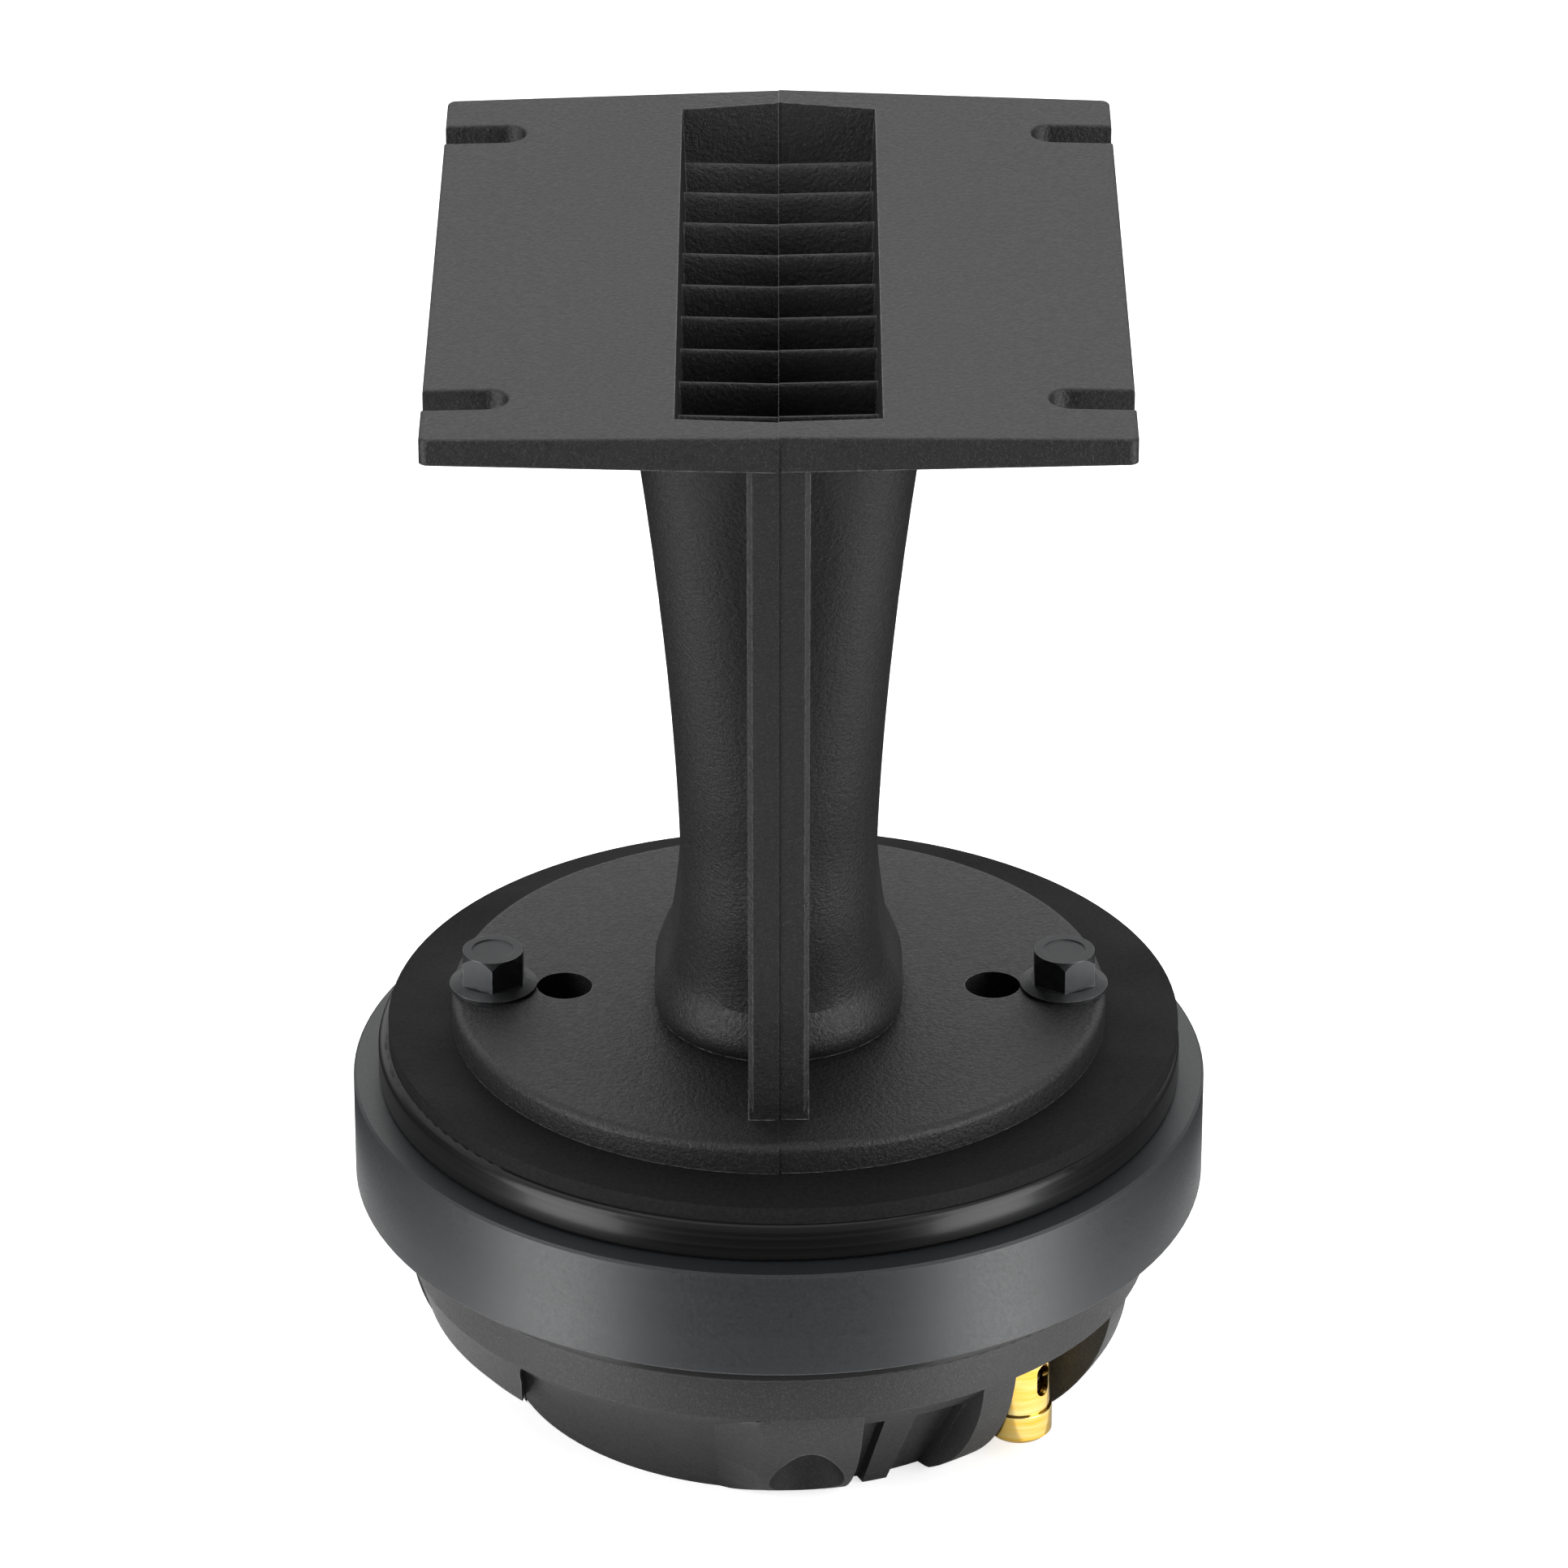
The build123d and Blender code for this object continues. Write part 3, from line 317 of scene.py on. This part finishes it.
def seam_glue():
    """Thin bead that fills the seam a little below the surface, except behind the blades."""
    half = nodes["horn_half_left"]
    mesh = bpy.data.meshes.new("horn_seam_glue")
    bm = bmesh.new()
    bm.from_mesh(half.data)
    bm.transform(half.matrix_world)
    seam_x = max(vert.co.x for vert in bm.verts)
    drop = [face for face in bm.faces
            if any(abs(vert.co.x - seam_x) > SEAM_FACE_TOLERANCE for vert in face.verts)]
    bmesh.ops.delete(bm, geom=drop, context="FACES")
    bmesh.ops.dissolve_limit(bm, angle_limit=0.01, verts=bm.verts, edges=bm.edges)
    open_line = [face for face in bm.faces if face.calc_area() < OPEN_SEAM_AREA]
    bmesh.ops.delete(bm, geom=open_line, context="FACES")
    bmesh.ops.inset_region(bm, faces=bm.faces, thickness=GLUE_INSET, use_boundary=True)
    for vert in bm.verts:
        vert.co.x = -GLUE_HALF_T
    skin = bmesh.ops.extrude_face_region(bm, geom=list(bm.faces))
    for item in skin["geom"]:
        if isinstance(item, bmesh.types.BMVert):
            item.co.x = GLUE_HALF_T
    bm.to_mesh(mesh)
    bm.free()
    glue = bpy.data.objects.new("horn_seam_glue", mesh)
    mesh.materials.append(materials["bush_nylon"])
    scene.collection.objects.link(glue)
    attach(glue, "frame")


# ------------------------------------------------------------------ springs on their own meshes

def coil_spring(letter):
    """Copy of a terminal's spring on its own mesh, standing in for the hidden CAD spring."""
    node = nodes["terminal_spring_" + letter]
    spring = bpy.data.objects.new("coil_spring_" + letter, node.data.copy())
    scene.collection.objects.link(spring)
    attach(spring, "frame")
    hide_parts("terminal_spring_" + letter)
    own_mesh(spring)


# ------------------------------------------------------------------ floor, lights, camera

SHEET_STEPS = 64
FLOOR_PROFILE = ((0.001, 0), (9.0, 0), (10.0, 0.4), (10.5, 1.5), (10.5, 9.0))
BACKDROP_GLOW = 0.75
FLOOR_GLOW = 0.6
FLOOR_DROP = 0.5 * MM
TOP_LIGHT = 1.0
BACK_LIGHT = 1.22
UNDER_LIGHT = 0.4
FILL_LIGHT = 0.02
FRONT_SHARE = 0.2


def floor_material(name, glow):
    s = Shader(name, Specular_IOR_Level=0.15, Roughness=0.8, Emission_Strength=glow)
    white = s.mix(s.ramp(s.noise(3.0, 3.0), 0.3, 0.7), grey(0.90), grey(0.93))
    s.colour(white)
    s.put(s.bsdf.inputs["Emission Color"], white)
    return s.material


def turned_sheet(name, profile, glow):
    """White staged sheet turned about the object's axis, from (radius, height) points."""
    mesh = bpy.data.meshes.new(name)
    bm = bmesh.new()
    rings = [[bm.verts.new((radius * math.cos(turn), radius * math.sin(turn), height))
              for turn in (math.tau * step / SHEET_STEPS for step in range(SHEET_STEPS))]
             for radius, height in profile]
    for inner, outer in zip(rings, rings[1:]):
        for step in range(SHEET_STEPS):
            after = (step + 1) % SHEET_STEPS
            bm.faces.new((inner[step], outer[step], outer[after], inner[after]))
    bm.to_mesh(mesh)
    bm.free()
    mesh.materials.append(floor_material(name, glow))
    sheet = bpy.data.objects.new(name, mesh)
    scene.collection.objects.link(sheet)
    return sheet


def make_floor():
    """Pale floor that turns up into a wall far out; only the camera sees it."""
    floor = turned_sheet("studio_floor", FLOOR_PROFILE, BACKDROP_GLOW)
    floor.visible_diffuse = False
    floor.visible_glossy = False
    floor.visible_shadow = False


def floor_bounce():
    """The floor round the foot as the object sees it: shaded under the foot, lit beyond."""
    for name, inner, outer, glow in (("floor_shaded", 0.001, 0.050, 0.0),
                                     ("floor_lit", 0.050, 0.095, FLOOR_GLOW)):
        patch = turned_sheet(name, ((inner, 0), (outer, 0)), glow)
        patch.location = (0, 0, -FLOOR_DROP)
        patch.visible_camera = False


def softbox(name, place, aim, size, watts):
    light = bpy.data.lights.new(name, "AREA")
    light.shape = "RECTANGLE"
    light.size, light.size_y = size
    light.energy = watts
    lamp = bpy.data.objects.new(name, light)
    lamp.location = place
    lamp.rotation_euler = (Vector(aim) - Vector(place)).to_track_quat("-Z", "Y").to_euler()
    scene.collection.objects.link(lamp)


def studio_world():
    """White studio by direction: bright overhead and behind, some from below, dim round the sides."""
    world = bpy.data.worlds.new("studio")
    world.use_nodes = True
    tree = world.node_tree

    def link(value, socket):
        if isinstance(value, bpy.types.NodeSocket):
            tree.links.new(value, socket)
        else:
            socket.default_value = value

    def ramp(value, start, end, out_end):
        node = tree.nodes.new("ShaderNodeMapRange")
        node.interpolation_type = "SMOOTHSTEP"
        for key, item in (("Value", value), ("From Min", start), ("From Max", end), ("To Max", out_end)):
            link(item, node.inputs[key])
        return node.outputs["Result"]

    def combine(operation, a, b):
        node = tree.nodes.new("ShaderNodeMath")
        node.operation = operation
        link(a, node.inputs[0])
        link(b, node.inputs[1])
        return node.outputs[0]

    split = tree.nodes.new("ShaderNodeSeparateXYZ")
    tree.links.new(tree.nodes.new("ShaderNodeTexCoord").outputs["Generated"], split.inputs[0])
    up = split.outputs["Z"]
    away = combine("ADD", ramp(split.outputs["Y"], -0.60, 0.15, 1.0 - FRONT_SHARE), FRONT_SHARE)
    overhead = combine("MULTIPLY", ramp(up, 0.30, 0.75, TOP_LIGHT), away)
    below = ramp(up, -0.75, -0.95, UNDER_LIGHT)
    behind = combine("MULTIPLY", ramp(split.outputs["Y"], 0.45, 0.88, BACK_LIGHT),
                     ramp(up, -0.25, 0.25, 1.0))
    brightest = combine("MAXIMUM", overhead, combine("MAXIMUM", below, behind))
    light = combine("ADD", brightest, FILL_LIGHT)
    tree.links.new(light, tree.nodes["Background"].inputs["Strength"])
    tree.nodes["Background"].inputs["Color"].default_value = (1, 1, 1, 1)
    scene.world = world


seam_glue()
for letter in "ab":
    coil_spring(letter)
make_floor()
floor_bounce()
studio_world()
softbox("top", (0.0, 0.25, 1.5), (0, 0, 0.08), (1.3, 1.3), 8.0)
softbox("left", (-0.95, -0.55, 0.05), (0, 0, 0.05), (0.62, 1.7), 18.5)
softbox("right", (0.95, -0.55, 0.05), (0, 0, 0.05), (0.62, 1.7), 19.5)
scene.view_settings.view_transform = "Standard"
scene.view_settings.look = "None"

FOCAL_MM = 197.32
SENSOR_MM = 36.0
DISTANCE = 1.1345
DEPRESSION = math.radians(27.07)
AIM_HEIGHT = 0.08624
camera = bpy.data.cameras.new("camera")
camera.lens = FOCAL_MM
camera.sensor_width = SENSOR_MM
camera.shift_x = 0.0034
camera.clip_start = 0.05
view = bpy.data.objects.new("camera", camera)
view.location = (0, -DISTANCE * math.cos(DEPRESSION), AIM_HEIGHT + DISTANCE * math.sin(DEPRESSION))
view.rotation_euler = (math.pi / 2 - DEPRESSION, 0, 0)
scene.collection.objects.link(view)
scene.camera = view
